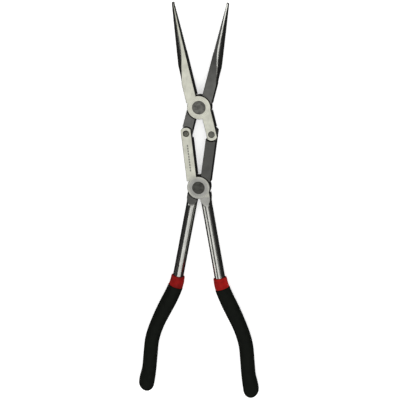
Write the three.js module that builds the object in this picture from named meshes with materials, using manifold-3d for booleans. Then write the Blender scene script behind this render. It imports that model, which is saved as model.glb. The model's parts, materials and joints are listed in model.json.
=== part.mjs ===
// Long-reach needle nose pliers with a double cross joint, in millimetres.
// Two jaws cross at the upper pivot and two handle levers cross at the lower pivot.
// Small rivets join each jaw's tail to the top of one handle lever, so the four bars form a kite.
// The tool lies flat: +X to its right, +Y towards the jaw tips, +Z up through its thickness.
//
// Each lever is drawn closed, with its own big pivot at the origin, as the front lever of its pair.
// The back lever is the same forging turned half a turn about the tool's long axis.
import * as THREE from 'three';
import { mergeVertices } from 'three/addons/utils/BufferGeometryUtils.js';
import Module from 'manifold-3d';

const wasm = await Module();
wasm.setup();

// Linkage
const jawArm = 28.7; // upper pivot to link rivet
const linkArm = 54.5; // lower pivot to link rivet
const jawOpening = THREE.MathUtils.degToRad(14.2); // turn of each jaw from closed to rest

// Rivets
const upperRivetRadius = 6.5;
const lowerRivetRadius = 6.1;
const linkRivetRadius = 3.2;
const rivetHeadDepth = 1.8;
const rivetHeadCone = 1;
const shankShare = 0.7; // shank radius over head radius
const rivetChamfer = 0.3;

// Levers
const jointThickness = 12.6;
const barWidth = 10; // jaw tails and links
const barInset = 0.7; // a bar's inner edge to the centre plane, tool closed
const earOverhang = 1.2; // rounded end of a bar beyond its half width, about the link rivet
const upperDiscRim = 5; // disc beyond its rivet
const lowerDiscRim = 5.1;

// Jaws
const jawLength = 103; // upper pivot to tip
const jawWidth = 10.9; // each jaw at its root
const jawShoulderStep = 5.1; // end of the full-width jaw, down from the disc's top
const tipWidth = 2.4;
const tipThickness = 5;
const taperStart = 43; // the outer edge is straight up to here
const noseStart = 25.5; // the round nose is ground from here
const noseRun = 38; // length over which the nose becomes round
const noseRoundness = 0.92; // 1 is a full half ellipse, 0 a square bar
const noseThinning = 2.6; // power by which the jaw thins towards its tip
const serrationPitch = 1.6;
const serrationDepth = 0.45;
const serratedLength = 46;

// Handle rods and their bent tangs
const linkShoulderStep = 3.9; // end of the full-width link, down from the disc's top
const rodRadius = 5.25;
const rodStart = 1; // rod's first section, inside the disc
const rodOffset = 4.3; // rod axis to lower pivot, measured at the pivot
const rodLean = THREE.MathUtils.degToRad(3.1); // rod to centre plane, tool closed
const rodLength = 98; // lower pivot to the start of the bend
const cheekWidth = 10.8; // flat cheek between lower disc and round rod
const cheekEnd = 8; // where the cheek starts to turn round
const cheekRun = 12; // length of that change
const gripSpread = 17.9; // sideways step of the bend
const elbowDrop = 74; // bend start to the widest point of the grip
const gripDrop = 124; // bend start to the end of the grip
const bendReach = 0.25; // share of the elbow drop over which the bend still follows the rod
const elbowReachAbove = 0.35; // the same, over which it runs into the elbow
const elbowReachBelow = 0.24;
const elbowLeanAbove = 0.8; // sideways lead of the curve into the elbow, and on from it
const elbowLeanBelow = -0.55;
const endReach = 0.34; // share of the last drop over which it runs straight into the end
const endLean = -1.9;
const tangStep = 0.65; // tang's radius under the rod's
const tangEndWall = 12; // grip end beyond the tang
const tangOverlap = 2; // tang's start inside the rod

// Collars and grips
const collarLead = 4; // collar's start before the bend
const collarLength = 11;
const collarLip = 0.5; // rounded top edge
const collarTopWall = 1.15;
const collarBottomWall = 1.7;
const neckWall = 0.9; // collar's neck inside the grip
const neckLength = 8;
const gripMouthWall = 0.8; // grip round the neck
const gripBulge = 0.3; // grip's half width at its bulge beyond that at its mouth
const gripWaistWall = 2.35; // grip round the tang
const gripFlatWall = 0.55; // grip round the neck, through the tool's thickness
const gripBulgeAt = 20; // along the grip, from its mouth
const gripWaistAt = 48;
const gripFlare = 1.5; // swelling of the outer side before the end
const gripFlareAt = 12; // its middle, before the end
const gripFlareRun = 16; // from its middle to nothing
const gripEndRound = 8; // length of the rounded end
const gripEndFullness = 0.97; // 1 would close the end to a point

// Clearances
const lapGap = 0.3; // between lapped halves, flat to flat
const lapEdgeGap = 0.8; // round a lapped disc or ear, edge to arc
const pivotGap = 0.3; // round the big rivets
const linkGap = 0.5; // round the link rivets, which also take up the linkage's play
const closedGap = 0.4; // between the two gripping faces, tool closed
const rodGap = 0.5; // between the two rods at their closest, tool closed
const sleeveGap = 0.3; // rod to collar to grip
const jointSlack = 0.4; // added to the cut that each lapped ear turns in

// Mesh fineness
const discSides = 64;
const rivetSides = 32;
const jawPerSide = 9;
const rodPerSide = 13;
const sleevePerSide = 9;
const gripPerSide = 8;
const tangSides = 12;
const tangStepLength = 6;
const arcSides = 12;
const noseRows = 12;
const tipRows = 7;
const cheekRows = 9;
const sleeveRowCount = 5;
const collarRows = 3;
const gripRows = 20;
const gripEndRows = 5;
const fullRound = 0.9995; // a round section, a little under 1 so that no two of its points meet
const mergeTolerance = 1e-4; // points closer than this are one
const cutOverrun = 1; // how far a bore is cut past the end of its piece

const halfThickness = jointThickness / 2;
const rivetOffset = barWidth / 2 + barInset; // link rivet to centre plane, tool closed
const earRadius = barWidth / 2 + earOverhang;
const upperDiscRadius = upperRivetRadius + upperDiscRim;
const lowerDiscRadius = lowerRivetRadius + lowerDiscRim;
const jawShoulder = upperDiscRadius - jawShoulderStep;
const linkShoulder = lowerDiscRadius - linkShoulderStep;
const tangRadius = rodRadius - tangStep;
const boreRadius = rodRadius + sleeveGap;
const neckRadius = boreRadius + neckWall;
const neckBoreRadius = neckRadius + sleeveGap;
const collarStart = rodLength - collarLead;
const collarEnd = collarStart + collarLength;
const neckEnd = collarEnd + neckLength;
const gripMouth = collarEnd + sleeveGap;
const closedJawAngle = Math.asin(rivetOffset / jawArm);
const closedLinkAngle = Math.asin(rivetOffset / linkArm);
const restHalfWidth = jawArm * Math.sin(closedJawAngle + jawOpening);
const handleOpening = Math.asin(restHalfWidth / linkArm) - closedLinkAngle;
const restJawDrop = jawArm * Math.cos(closedJawAngle + jawOpening);
const pivotSpacing = restJawDrop + linkArm * Math.cos(closedLinkAngle + handleOpening);
const tailRivet = new THREE.Vector2(rivetOffset, -jawArm * Math.cos(closedJawAngle));
const linkRivet = new THREE.Vector2(-rivetOffset, linkArm * Math.cos(closedLinkAngle));

const forwards = new THREE.Vector3(0, 1, 0);
const upwards = new THREE.Vector3(0, 0, 1);

// Turns a closed three.js geometry into a solid for joining and cutting
function solid(geometry) {
  const bare = geometry.clone();
  bare.deleteAttribute('normal');
  bare.deleteAttribute('uv');
  const merged = mergeVertices(bare, mergeTolerance);
  return new wasm.Manifold(new wasm.Mesh({
    numProp: 3,
    vertProperties: Float32Array.from(merged.attributes.position.array),
    triVerts: Uint32Array.from(merged.index.array),
  }));
}

function geometryOf(body) {
  const mesh = body.getMesh();
  const geometry = new THREE.BufferGeometry();
  geometry.setAttribute('position', new THREE.BufferAttribute(mesh.vertProperties, 3));
  geometry.setIndex(new THREE.BufferAttribute(mesh.triVerts, 1));
  geometry.computeVertexNormals();
  return geometry;
}

// An upright cylinder over the point (x, y), between two heights
function post(x, y, radius, low, high, sides = discSides) {
  const geometry = new THREE.CylinderGeometry(radius, radius, high - low, sides);
  geometry.rotateX(Math.PI / 2);
  geometry.translate(x, y, (low + high) / 2);
  return solid(geometry);
}

// A flat outline extruded evenly about the centre plane
function plate(shape, thickness) {
  const geometry = new THREE.ExtrudeGeometry(shape, {
    depth: thickness,
    bevelEnabled: false,
    curveSegments: arcSides,
  });
  geometry.translate(0, 0, -thickness / 2);
  return solid(geometry);
}

function block(x0, x1, y0, y1) {
  const geometry = new THREE.BoxGeometry(x1 - x0, y1 - y0, jointThickness * 2);
  geometry.translate((x0 + x1) / 2, (y0 + y1) / 2, 0);
  return solid(geometry);
}

// One cross section. Each side's edge bows out from base by reach; round 0 is a square side and
// round 1 a full elliptical one. Points run from the top of the right side round to the top left.
function ringOf({ centre, along, half, right, left }, perSide) {
  const across = new THREE.Vector3().crossVectors(along, upwards);
  const points = [];
  for (const [edge, sign] of [[right, 1], [left, -1]]) {
    for (let i = 0; i <= perSide; i++) {
      const z = sign * half * Math.cos(Math.PI * i / perSide);
      const bow = Math.sqrt(1 - (edge.round * z / half) ** 2);
      const x = edge.base + edge.reach * bow;
      points.push(centre.clone().addScaledVector(across, x).addScaledVector(upwards, z));
    }
  }
  const middle = new THREE.Vector3();
  points.forEach((point) => middle.addScaledVector(point, 1 / points.length));
  return { points, middle };
}

// A closed body through a row of cross sections, made by reshaping a cylinder's rings.
// The cylinder has radius 1, and only the centres of its two end caps lie on its axis.
function loft(stations, perSide) {
  const around = 2 * (perSide + 1);
  const spans = stations.length - 1;
  const rings = stations.map((station) => ringOf(station, perSide));
  const geometry = new THREE.CylinderGeometry(1, 1, spans, around, spans);
  const position = geometry.attributes.position;
  const vertex = new THREE.Vector3();
  for (let v = 0; v < position.count; v++) {
    vertex.fromBufferAttribute(position, v);
    const ring = rings[Math.round(vertex.y + spans / 2)];
    const turn = Math.atan2(vertex.x, vertex.z) / (2 * Math.PI);
    const index = (Math.round(turn * around) + around) % around;
    const onAxis = Math.hypot(vertex.x, vertex.z) < 0.5;
    const target = onAxis ? ring.middle : ring.points[index];
    position.setXYZ(v, target.x, target.y, target.z);
  }
  return solid(geometry);
}

// A section that bows out equally to both sides of the centre line
function oval(halfWidth, half, round) {
  return {
    half,
    right: { base: 0, reach: halfWidth, round },
    left: { base: 0, reach: -halfWidth, round },
  };
}

function evenly(from, to, count) {
  return Array.from({ length: count + 1 }, (_, i) => from + (to - from) * i / count);
}

// Rises from 0 to 1 over the run like the first quarter of a circle
function quarterRise(distance, run) {
  const t = THREE.MathUtils.clamp(distance / run, 0, 1);
  return Math.sqrt(1 - (1 - t) ** 2);
}

// Rivets: a straight shank with a countersunk head at each end, flush with the levers
function rivetProfile(headRadius, gap, reach) {
  const shank = headRadius * shankShare + gap;
  const head = headRadius + gap;
  const chamfer = gap > 0 ? 0 : rivetChamfer;
  const neck = halfThickness - rivetHeadDepth - gap;
  const half = [
    [shank, neck - rivetHeadCone],
    [head, neck],
    [head, reach - chamfer],
    [head - chamfer, reach],
    [0, reach],
  ];
  const low = half.map(([r, z]) => new THREE.Vector2(r, -z)).reverse();
  const high = half.map(([r, z]) => new THREE.Vector2(r, z));
  return [...low, ...high].filter((p, i, all) => i === 0 || !p.equals(all[i - 1]));
}

function rivetGeometry(headRadius, gap = 0, reach = halfThickness) {
  const geometry = new THREE.LatheGeometry(rivetProfile(headRadius, gap, reach), rivetSides);
  geometry.rotateX(Math.PI / 2);
  return geometry;
}

function rivetHole(headRadius, gap, at) {
  const geometry = rivetGeometry(headRadius, gap, jointThickness);
  geometry.translate(at.x, at.y, 0);
  return solid(geometry);
}

// A bar that runs from the big pivot's height to a link rivet and ends in an arc about it
function bar(rivet, fromY) {
  const side = Math.sign(rivet.x);
  const inner = side * (rivetOffset - barWidth / 2);
  const outer = side * (rivetOffset + barWidth / 2);
  const up = Math.sign(rivet.y);
  const halfAngle = Math.asin(barWidth / 2 / earRadius);
  const middle = up * Math.PI / 2;
  const turn = -side * up;
  const arcFrom = middle - turn * halfAngle;
  const arcTo = middle + turn * halfAngle;
  const shape = new THREE.Shape();
  shape.moveTo(outer, fromY);
  shape.lineTo(inner, fromY);
  shape.absarc(rivet.x, rivet.y, earRadius, arcFrom, arcTo, turn < 0);
  shape.closePath();
  return plate(shape, jointThickness);
}

// Removes the back half of a front lever inside a circle, for the lever that laps behind it
function lapCut(at, radius) {
  return post(at.x, at.y, radius + lapEdgeGap, -jointThickness, lapGap / 2);
}

// A cross section of the jaw, flat on the side that grips and rounded on the outside
function jawStation(y) {
  const taper = THREE.MathUtils.clamp((y - taperStart) / (jawLength - taperStart), 0, 1);
  const thinning = THREE.MathUtils.clamp((y - noseStart) / (jawLength - noseStart), 0, 1);
  const width = THREE.MathUtils.lerp(jawWidth, tipWidth, taper);
  const thickness = THREE.MathUtils.lerp(jointThickness, tipThickness, thinning ** noseThinning);
  const face = closedGap / 2;
  return {
    centre: new THREE.Vector3(0, y, 0),
    along: forwards,
    half: thickness / 2,
    right: { base: -face, reach: 0, round: 0 },
    left: { base: -face, reach: face - width, round: noseRoundness * quarterRise(y - noseStart, noseRun) },
  };
}

// The teeth to cut from a gripping face, as one long saw-edged plate
function serrations() {
  const count = Math.round(serratedLength / serrationPitch);
  const face = -closedGap / 2;
  const shape = new THREE.Shape();
  const start = jawLength - serrationPitch - count * serrationPitch;
  shape.moveTo(jawWidth, start);
  shape.lineTo(face, start);
  for (let i = 0; i < count; i++) {
    const y = start + i * serrationPitch;
    shape.lineTo(face - serrationDepth, y + serrationPitch / 2);
    shape.lineTo(face, y + serrationPitch);
  }
  shape.lineTo(jawWidth, start + count * serrationPitch);
  return plate(shape, jointThickness * 2);
}

function jaw() {
  const pivot = new THREE.Vector2(0, 0);
  const roundingEnd = noseStart + noseRun;
  const noseSections = evenly(noseStart, roundingEnd, noseRows);
  const tipSections = evenly(roundingEnd, jawLength, tipRows).slice(1);
  return loft([jawShoulder, ...noseSections, ...tipSections].map(jawStation), jawPerSide)
    .subtract(serrations())
    .add(post(0, 0, upperDiscRadius, -halfThickness, halfThickness))
    .add(bar(tailRivet, 0))
    .subtract(lapCut(pivot, upperDiscRadius))
    .subtract(lapCut(tailRivet, earRadius + jointSlack))
    .subtract(rivetHole(upperRivetRadius, pivotGap, pivot))
    .subtract(rivetHole(linkRivetRadius, linkGap, tailRivet));
}

// Centre line of a handle: straight rod, outward bend, and the long grip that comes back a little
function handleLine() {
  const rodDirection = new THREE.Vector3(Math.sin(rodLean), -Math.cos(rodLean), 0);
  const start = new THREE.Vector3(rodOffset, 0, 0);
  const bend = start.clone().addScaledVector(rodDirection, rodLength);
  const elbow = bend.clone().add(new THREE.Vector3(gripSpread, -elbowDrop, 0));
  const end = bend.clone().add(new THREE.Vector3(gripSpread, -gripDrop, 0));
  const intoBend = bend.clone().addScaledVector(rodDirection, elbowDrop * bendReach);
  const intoElbow = elbow.clone().add(new THREE.Vector3(elbowLeanAbove, elbowDrop * elbowReachAbove, 0));
  const pastElbow = elbow.clone().add(new THREE.Vector3(elbowLeanBelow, -elbowDrop * elbowReachBelow, 0));
  const intoEnd = end.clone().add(new THREE.Vector3(endLean, (gripDrop - elbowDrop) * endReach, 0));
  const line = new THREE.CurvePath();
  line.add(new THREE.LineCurve3(start, bend));
  line.add(new THREE.CubicBezierCurve3(bend, intoBend, intoElbow, elbow));
  line.add(new THREE.CubicBezierCurve3(elbow, pastElbow, intoEnd, end));
  return line;
}

const handle = handleLine();
const handleLength = handle.getLength();

// A cross section square to the handle's centre line, at a distance along it
function handleStation(distance, section) {
  const u = distance / handleLength;
  return { centre: handle.getPointAt(u), along: handle.getTangentAt(u), ...section };
}

// A round tube along part of the handle's centre line
function tube(from, to, radius) {
  const steps = Math.ceil((to - from) / tangStepLength);
  const path = new THREE.CatmullRomCurve3(
    evenly(from, to, steps).map((distance) => handle.getPointAt(distance / handleLength)),
  );
  const circle = new THREE.Shape();
  circle.absarc(0, 0, radius, 0, 2 * Math.PI);
  return solid(new THREE.ExtrudeGeometry(circle, { steps, extrudePath: path, curveSegments: tangSides / 2 }));
}

// A cross section of the rod, which starts as a flat-sided cheek and turns round
function rodStation(distance) {
  const t = THREE.MathUtils.smoothstep(distance, cheekEnd, cheekEnd + cheekRun);
  const halfWidth = THREE.MathUtils.lerp(cheekWidth / 2, rodRadius, t);
  const half = THREE.MathUtils.lerp(halfThickness, rodRadius, t);
  return handleStation(distance, oval(halfWidth, half, fullRound * t));
}

// Places along the collar and its neck, shared by everything that fits round the rod there
const sleeveRows = evenly(collarStart, neckEnd, sleeveRowCount);

function handleLever() {
  const pivot = new THREE.Vector2(0, 0);
  const rows = [rodStart, ...evenly(cheekEnd, cheekEnd + cheekRun, cheekRows), ...sleeveRows];
  const beyondPlane = block(-2 * cheekWidth, rodGap / 2, -handleLength, 0);
  return loft(rows.map(rodStation), rodPerSide)
    .subtract(beyondPlane)
    .add(tube(neckEnd - tangOverlap, handleLength - tangEndWall, tangRadius))
    .add(post(0, 0, lowerDiscRadius, -halfThickness, halfThickness))
    .add(bar(linkRivet, linkShoulder))
    .subtract(lapCut(pivot, lowerDiscRadius))
    .subtract(lapCut(linkRivet, earRadius + jointSlack))
    .subtract(rivetHole(lowerRivetRadius, pivotGap, pivot))
    .subtract(rivetHole(linkRivetRadius, linkGap, linkRivet));
}

// A round body along the handle's centre line, with its radius given along it
function sleeve(rows, radiusAt) {
  const section = (row) => oval(radiusAt(row), radiusAt(row), fullRound);
  return loft(rows.map((row) => handleStation(row, section(row))), sleevePerSide);
}

// A collar widens towards the grip and ends in a neck that goes inside it
function collar() {
  const slope = (collarBottomWall - collarTopWall) / collarLength;
  const lipAt = (row) => (row === collarStart ? collarLip : 0);
  const outside = (row) => boreRadius + collarTopWall + slope * (row - collarStart) - lipAt(row);
  const rows = [collarStart, ...evenly(collarStart + collarLip, collarEnd, collarRows)];
  const bore = [collarStart - cutOverrun, ...sleeveRows, neckEnd + cutOverrun];
  return sleeve(rows, outside)
    .add(sleeve(evenly(collarEnd - cutOverrun, neckEnd, collarRows), () => neckRadius))
    .subtract(sleeve(bore, () => boreRadius));
}

// A cross section of the grip, which swells below its mouth, narrows, flares on its outer side and
// ends rounded
function gripStation(distance) {
  const along = distance - gripMouth;
  const toBulge = THREE.MathUtils.smoothstep(along, 0, gripBulgeAt);
  const toWaist = THREE.MathUtils.smoothstep(along, gripBulgeAt, gripWaistAt);
  const upper = neckBoreRadius + gripMouthWall + gripBulge * toBulge;
  const halfWidth = THREE.MathUtils.lerp(upper, tangRadius + sleeveGap + gripWaistWall, toWaist);
  const half = neckBoreRadius + gripFlatWall;
  const intoEnd = THREE.MathUtils.clamp((distance - (handleLength - gripEndRound)) / gripEndRound, 0, 1);
  const rounding = Math.sqrt(1 - (gripEndFullness * intoEnd) ** 2);
  const fromFlare = Math.abs(distance - (handleLength - gripFlareAt)) / gripFlareRun;
  const flare = gripFlare * (1 - THREE.MathUtils.smoothstep(fromFlare, 0, 1));
  return handleStation(distance, {
    half: half * rounding,
    right: { base: 0, reach: halfWidth * rounding, round: fullRound },
    left: { base: 0, reach: -(halfWidth + flare) * rounding, round: fullRound },
  });
}

function grip() {
  const endStart = handleLength - gripEndRound;
  const quarterTurns = evenly(0, Math.PI / 2, gripEndRows).slice(1);
  const roundEnd = quarterTurns.map((angle) => endStart + gripEndRound * Math.sin(angle));
  const rows = [...evenly(gripMouth, endStart, gripRows), ...roundEnd];
  const insideRows = sleeveRows.filter((row) => row > gripMouth);
  const neckRows = [gripMouth - cutOverrun, ...insideRows, neckEnd + sleeveGap];
  const neckBore = sleeve(neckRows, () => neckBoreRadius);
  return loft(rows.map(gripStation), gripPerSide)
    .subtract(neckBore)
    .subtract(tube(neckEnd - tangOverlap, handleLength - tangEndWall + sleeveGap, tangRadius + sleeveGap));
}

// Materials
function metal(color, roughness) {
  return new THREE.MeshStandardMaterial({ color, roughness, metalness: 1 });
}

const groundSteel = metal(0xcbc9bd, 0.3);
const darkSteel = metal(0x6b6c66, 0.35);
const rivetSteel = metal(0x6a6a63, 0.4);
const redPlastic = new THREE.MeshStandardMaterial({ color: 0x9c1a1a, roughness: 0.35, metalness: 0 });
const blackRubber = new THREE.MeshStandardMaterial({ color: 0x151613, roughness: 0.75, metalness: 0 });

const jawGeometry = geometryOf(jaw());
const leverGeometry = geometryOf(handleLever());
const collarGeometry = geometryOf(collar());
const gripGeometry = geometryOf(grip());

function piece(name, geometry, material) {
  const mesh = new THREE.Mesh(geometry, material.clone());
  mesh.name = name;
  return mesh;
}

// One jaw and one handle lever with all that turns with them, as the front pair
function leverPair(names, steel) {
  const jawSide = new THREE.Group();
  jawSide.position.y = pivotSpacing;
  jawSide.rotation.z = jawOpening;
  jawSide.add(piece(names.jaw, jawGeometry, steel));

  const handleSide = new THREE.Group();
  handleSide.rotation.z = handleOpening;
  handleSide.add(piece(names.lever, leverGeometry, steel));
  handleSide.add(piece(names.collar, collarGeometry, redPlastic));
  handleSide.add(piece(names.grip, gripGeometry, blackRubber));
  const rivet = piece(names.rivet, rivetGeometry(linkRivetRadius), rivetSteel);
  rivet.position.set(linkRivet.x, linkRivet.y, 0);
  handleSide.add(rivet);

  const pair = new THREE.Group();
  pair.add(jawSide, handleSide);
  return pair;
}

const frontPair = leverPair({
  jaw: 'front_jaw',
  lever: 'front_handle_lever',
  collar: 'right_collar',
  grip: 'right_grip',
  rivet: 'left_link_rivet',
}, groundSteel);

const backPair = leverPair({
  jaw: 'back_jaw',
  lever: 'back_handle_lever',
  collar: 'left_collar',
  grip: 'left_grip',
  rivet: 'right_link_rivet',
}, darkSteel);
backPair.rotation.y = Math.PI;

const upperRivet = piece('upper_pivot_rivet', rivetGeometry(upperRivetRadius), rivetSteel);
upperRivet.position.y = pivotSpacing;
const lowerRivet = piece('lower_pivot_rivet', rivetGeometry(lowerRivetRadius), rivetSteel);

// The origin is the middle of the underside of the whole tool
const tool = new THREE.Group();
tool.add(frontPair, backPair, upperRivet, lowerRivet);
const pliers = new THREE.Group();
pliers.add(tool);
const extent = new THREE.Box3().setFromObject(pliers, true);
const middle = extent.getCenter(new THREE.Vector3());
tool.position.set(-middle.x, -middle.y, -extent.min.z);

export default pliers;
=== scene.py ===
# Long-reach needle nose pliers with a double cross joint.
# Everything is built in millimetres in its own lever's frame and placed in metres in the model's frame.
# The tool lies flat: +X to its right, +Y towards the jaw tips, +Z up through its thickness.
import json
import math

import bmesh
import bpy
from mathutils import Matrix, Vector


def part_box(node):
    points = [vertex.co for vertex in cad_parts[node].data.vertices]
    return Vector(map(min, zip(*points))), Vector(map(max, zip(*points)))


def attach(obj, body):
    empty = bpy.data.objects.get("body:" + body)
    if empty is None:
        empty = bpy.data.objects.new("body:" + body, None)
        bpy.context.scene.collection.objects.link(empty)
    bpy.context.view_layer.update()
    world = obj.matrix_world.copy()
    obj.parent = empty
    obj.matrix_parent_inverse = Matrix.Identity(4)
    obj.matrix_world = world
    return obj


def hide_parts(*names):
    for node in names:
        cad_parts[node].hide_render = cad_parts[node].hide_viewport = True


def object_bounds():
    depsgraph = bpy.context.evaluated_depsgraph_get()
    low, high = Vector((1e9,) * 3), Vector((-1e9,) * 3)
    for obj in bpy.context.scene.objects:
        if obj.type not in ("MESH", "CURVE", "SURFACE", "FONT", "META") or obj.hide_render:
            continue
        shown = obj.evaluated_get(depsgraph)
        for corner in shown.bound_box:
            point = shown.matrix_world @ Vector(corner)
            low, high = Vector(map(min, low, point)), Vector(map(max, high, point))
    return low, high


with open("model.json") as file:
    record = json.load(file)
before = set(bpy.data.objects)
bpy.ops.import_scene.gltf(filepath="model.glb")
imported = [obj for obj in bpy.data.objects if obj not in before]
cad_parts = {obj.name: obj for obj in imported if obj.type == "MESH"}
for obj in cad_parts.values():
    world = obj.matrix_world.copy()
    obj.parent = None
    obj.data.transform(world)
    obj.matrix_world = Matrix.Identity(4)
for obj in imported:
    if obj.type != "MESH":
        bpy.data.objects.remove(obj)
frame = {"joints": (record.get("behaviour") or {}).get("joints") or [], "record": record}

CAD_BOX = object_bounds()
MM = 0.001
UP = Vector((0, 0, 1))
ORIGIN = Vector((0, 0, 0))


# ---- What the frame says ----

def radius_of(node):
    low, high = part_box(node)
    return (high.x - low.x) / 2 / MM


PIVOTS = {joint["name"]: Vector(joint["pos_m"]) / MM for joint in frame["joints"]}
LOWER_PIVOT = PIVOTS["squeeze"]
UPPER_PIVOT = PIVOTS["back_jaw_swing"]
RIGHT_LINK = PIVOTS["front_jaw_swing"]
JAW_ARM = (RIGHT_LINK - UPPER_PIVOT).length
LINK_ARM = (RIGHT_LINK - LOWER_PIVOT).length
UPPER_RIVET = radius_of("upper_pivot_rivet")
LOWER_RIVET = radius_of("lower_pivot_rivet")
LINK_RIVET = radius_of("left_link_rivet")
HALF_THICKNESS = (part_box("upper_pivot_rivet")[1].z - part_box("upper_pivot_rivet")[0].z) / 2 / MM
LEFT_LINK = Vector((-RIGHT_LINK.x, RIGHT_LINK.y, RIGHT_LINK.z))
BODY_OF = {
    node: body
    for body, nodes in frame["record"]["behaviour"]["bodies"].items()
    for node in nodes
}

# ---- Sizes in millimetres ----

# Levers
BAR_WIDTH = 10  # jaw tails and links
BAR_INSET = 0.7  # a bar's inner edge to the centre plane, tool closed
EAR_OVERHANG = 1.2  # rounded end of a bar beyond its half width, about the link rivet
UPPER_DISC_RIM = 5  # disc beyond its rivet
LOWER_DISC_RIM = 5.1
RIVET_OFFSET = BAR_WIDTH / 2 + BAR_INSET  # link rivet to centre plane, tool closed
EAR_RADIUS = BAR_WIDTH / 2 + EAR_OVERHANG
UPPER_DISC = UPPER_RIVET + UPPER_DISC_RIM
LOWER_DISC = LOWER_RIVET + LOWER_DISC_RIM
EDGE = 0.35  # ground chamfer on every lever's edges

# Rivets
RIVET_HEAD_DEPTH = 1.8
RIVET_HEAD_CONE = 1
SHANK_SHARE = 0.7  # shank radius over head radius

# Jaws
JAW_LENGTH = 103
JAW_WIDTH = 10.9  # each jaw at its root
JAW_SHOULDER_STEP = 5.1  # end of the full-width jaw, down from the disc's top
JAW_SHOULDER = UPPER_DISC - JAW_SHOULDER_STEP
TIP_WIDTH = 2.4
TIP_THICKNESS = 5
TIP_ROUND = 0.9
TIP_SOFTENING = 0.28  # share of the tip's size that its rounding takes off
TIP_EDGE_SHARE = 1 / 8  # chamfer over width where the jaw is too narrow for the whole edge
TAPER_START = 43  # the outer edge is straight up to here
NOSE_START = 25.5  # the round nose is ground from here
NOSE_RUN = 38  # length over which the nose becomes round
NOSE_ROUNDNESS = 0.92  # 1 is a full half ellipse, 0 a square bar
NOSE_THINNING = 2.6  # power by which the jaw thins towards its tip
TOOTH_PITCH = 1.6
TOOTH_DEPTH = 0.45
TOOTHED_LENGTH = 46

# Handle levers
LINK_SHOULDER_STEP = 3.9  # end of the full-width link, down from the disc's top
LINK_SHOULDER = LOWER_DISC - LINK_SHOULDER_STEP
ROD_RADIUS = 5.25
ROD_OFFSET = 4.3  # rod axis to lower pivot, measured at the pivot
ROD_LEAN = math.radians(3.1)  # rod to centre plane, tool closed
ROD_LENGTH = 98  # lower pivot to the start of the bend
ROD_START = 1  # rod's first section, inside the disc
ROD_EVEN_FROM = 40  # its even rows start here, well past the cheek
CHEEK_WIDTH = 10.8  # flat cheek between lower disc and round rod
CHEEK_END = 8  # where the cheek starts to turn round
CHEEK_RUN = 12  # length of that change
CHEEK_FLAT_RUN = 0.92 * CHEEK_RUN  # over which its flat narrows to nothing
GRIP_SPREAD = 17.9  # sideways step of the bend
ELBOW_DROP = 74  # bend start to the widest point of the grip
GRIP_DROP = 124  # bend start to the end of the grip
BEND_REACH = 0.25  # share of the elbow drop over which the bend still follows the rod
ELBOW_REACHES = (0.35, 0.24)  # the same, into the elbow and on from it
ELBOW_LEANS = (0.8, -0.55)  # sideways lead of the curve into the elbow and on from it
END_REACH = 0.34  # share of the last drop over which it runs straight into the end
END_LEAN = -1.9
TANG_STEP = 0.65  # tang's radius under the rod's
TANG_RADIUS = ROD_RADIUS - TANG_STEP
TANG_END_WALL = 12  # grip end beyond the tang
TANG_OVERLAP = 2  # tang's start inside the rod

# Index marks on the front link, where a tool like this carries its markings
MARK_COUNT = 10
MARK_PITCH = 2.7
MARK_SIZE = (1.3, 1.9)  # across and along the link
MARK_DEPTH = 0.12
MARK_TOP = 11  # first mark below the link rivet

# Collars and grips
COLLAR_LEAD = 4  # collar's start before the bend
COLLAR_START = ROD_LENGTH - COLLAR_LEAD
COLLAR_LENGTH = 11
COLLAR_END = COLLAR_START + COLLAR_LENGTH
COLLAR_WALLS = (1.15, 1.7)  # at its top and at its bottom
COLLAR_LIP = 0.6  # rounded top edge
COLLAR_FOOT = 0.25  # rounded bottom edge, inwards
COLLAR_FOOT_RUN = 0.4  # the same, along the rod
COLLAR_EVEN_ROWS = (1.4, 1)  # its even rows start this far from its top and end this far from its bottom
NECK_LENGTH = 8
NECK_WALL = 0.9
NECK_OVERLAP = 1  # neck's start inside the collar
GRIP_MOUTH_WALL = 0.8
GRIP_BULGE = 0.3
GRIP_BULGE_AT = 20  # along the grip, from its mouth
GRIP_WAIST_AT = 48
GRIP_WAIST_WALL = 2.35
GRIP_FLAT_WALL = 0.55  # grip round the neck, through the tool's thickness
GRIP_EVEN_ROWS = (2, 1.5)  # its even rows start this far from its mouth and end this far from its round end
GRIP_END_ROUND = 8  # length of the rounded end
GRIP_END_FULLNESS = 0.995  # 1 would close the end to a point
GRIP_LIP = 0.5  # rounded mouth
GRIP_FLARE = 1.5  # swelling before the end, on the outer side
GRIP_FLARE_AT = 12  # before the end
GRIP_FLARE_RUN = 16

# Clearances
LAP_GAP = 0.3  # between lapped halves, flat to flat
LAP_EDGE_GAP = 0.8  # round a lapped disc or ear, edge to arc
SEAT_GAP = 0.08  # round a rivet that turns or sits true in its hole
OPEN_LINK_GAP = 0.5  # round the left link rivet in the back jaw, which takes up the linkage's play
CLOSED_GAP = 0.4  # between the two gripping faces, tool closed
ROD_GAP = 0.5  # between the two rods at their closest, tool closed
SLEEVE_GAP = 0.3  # rod to collar to grip
JOINT_SLACK = 0.4  # added to the cut that each lapped ear turns in

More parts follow.
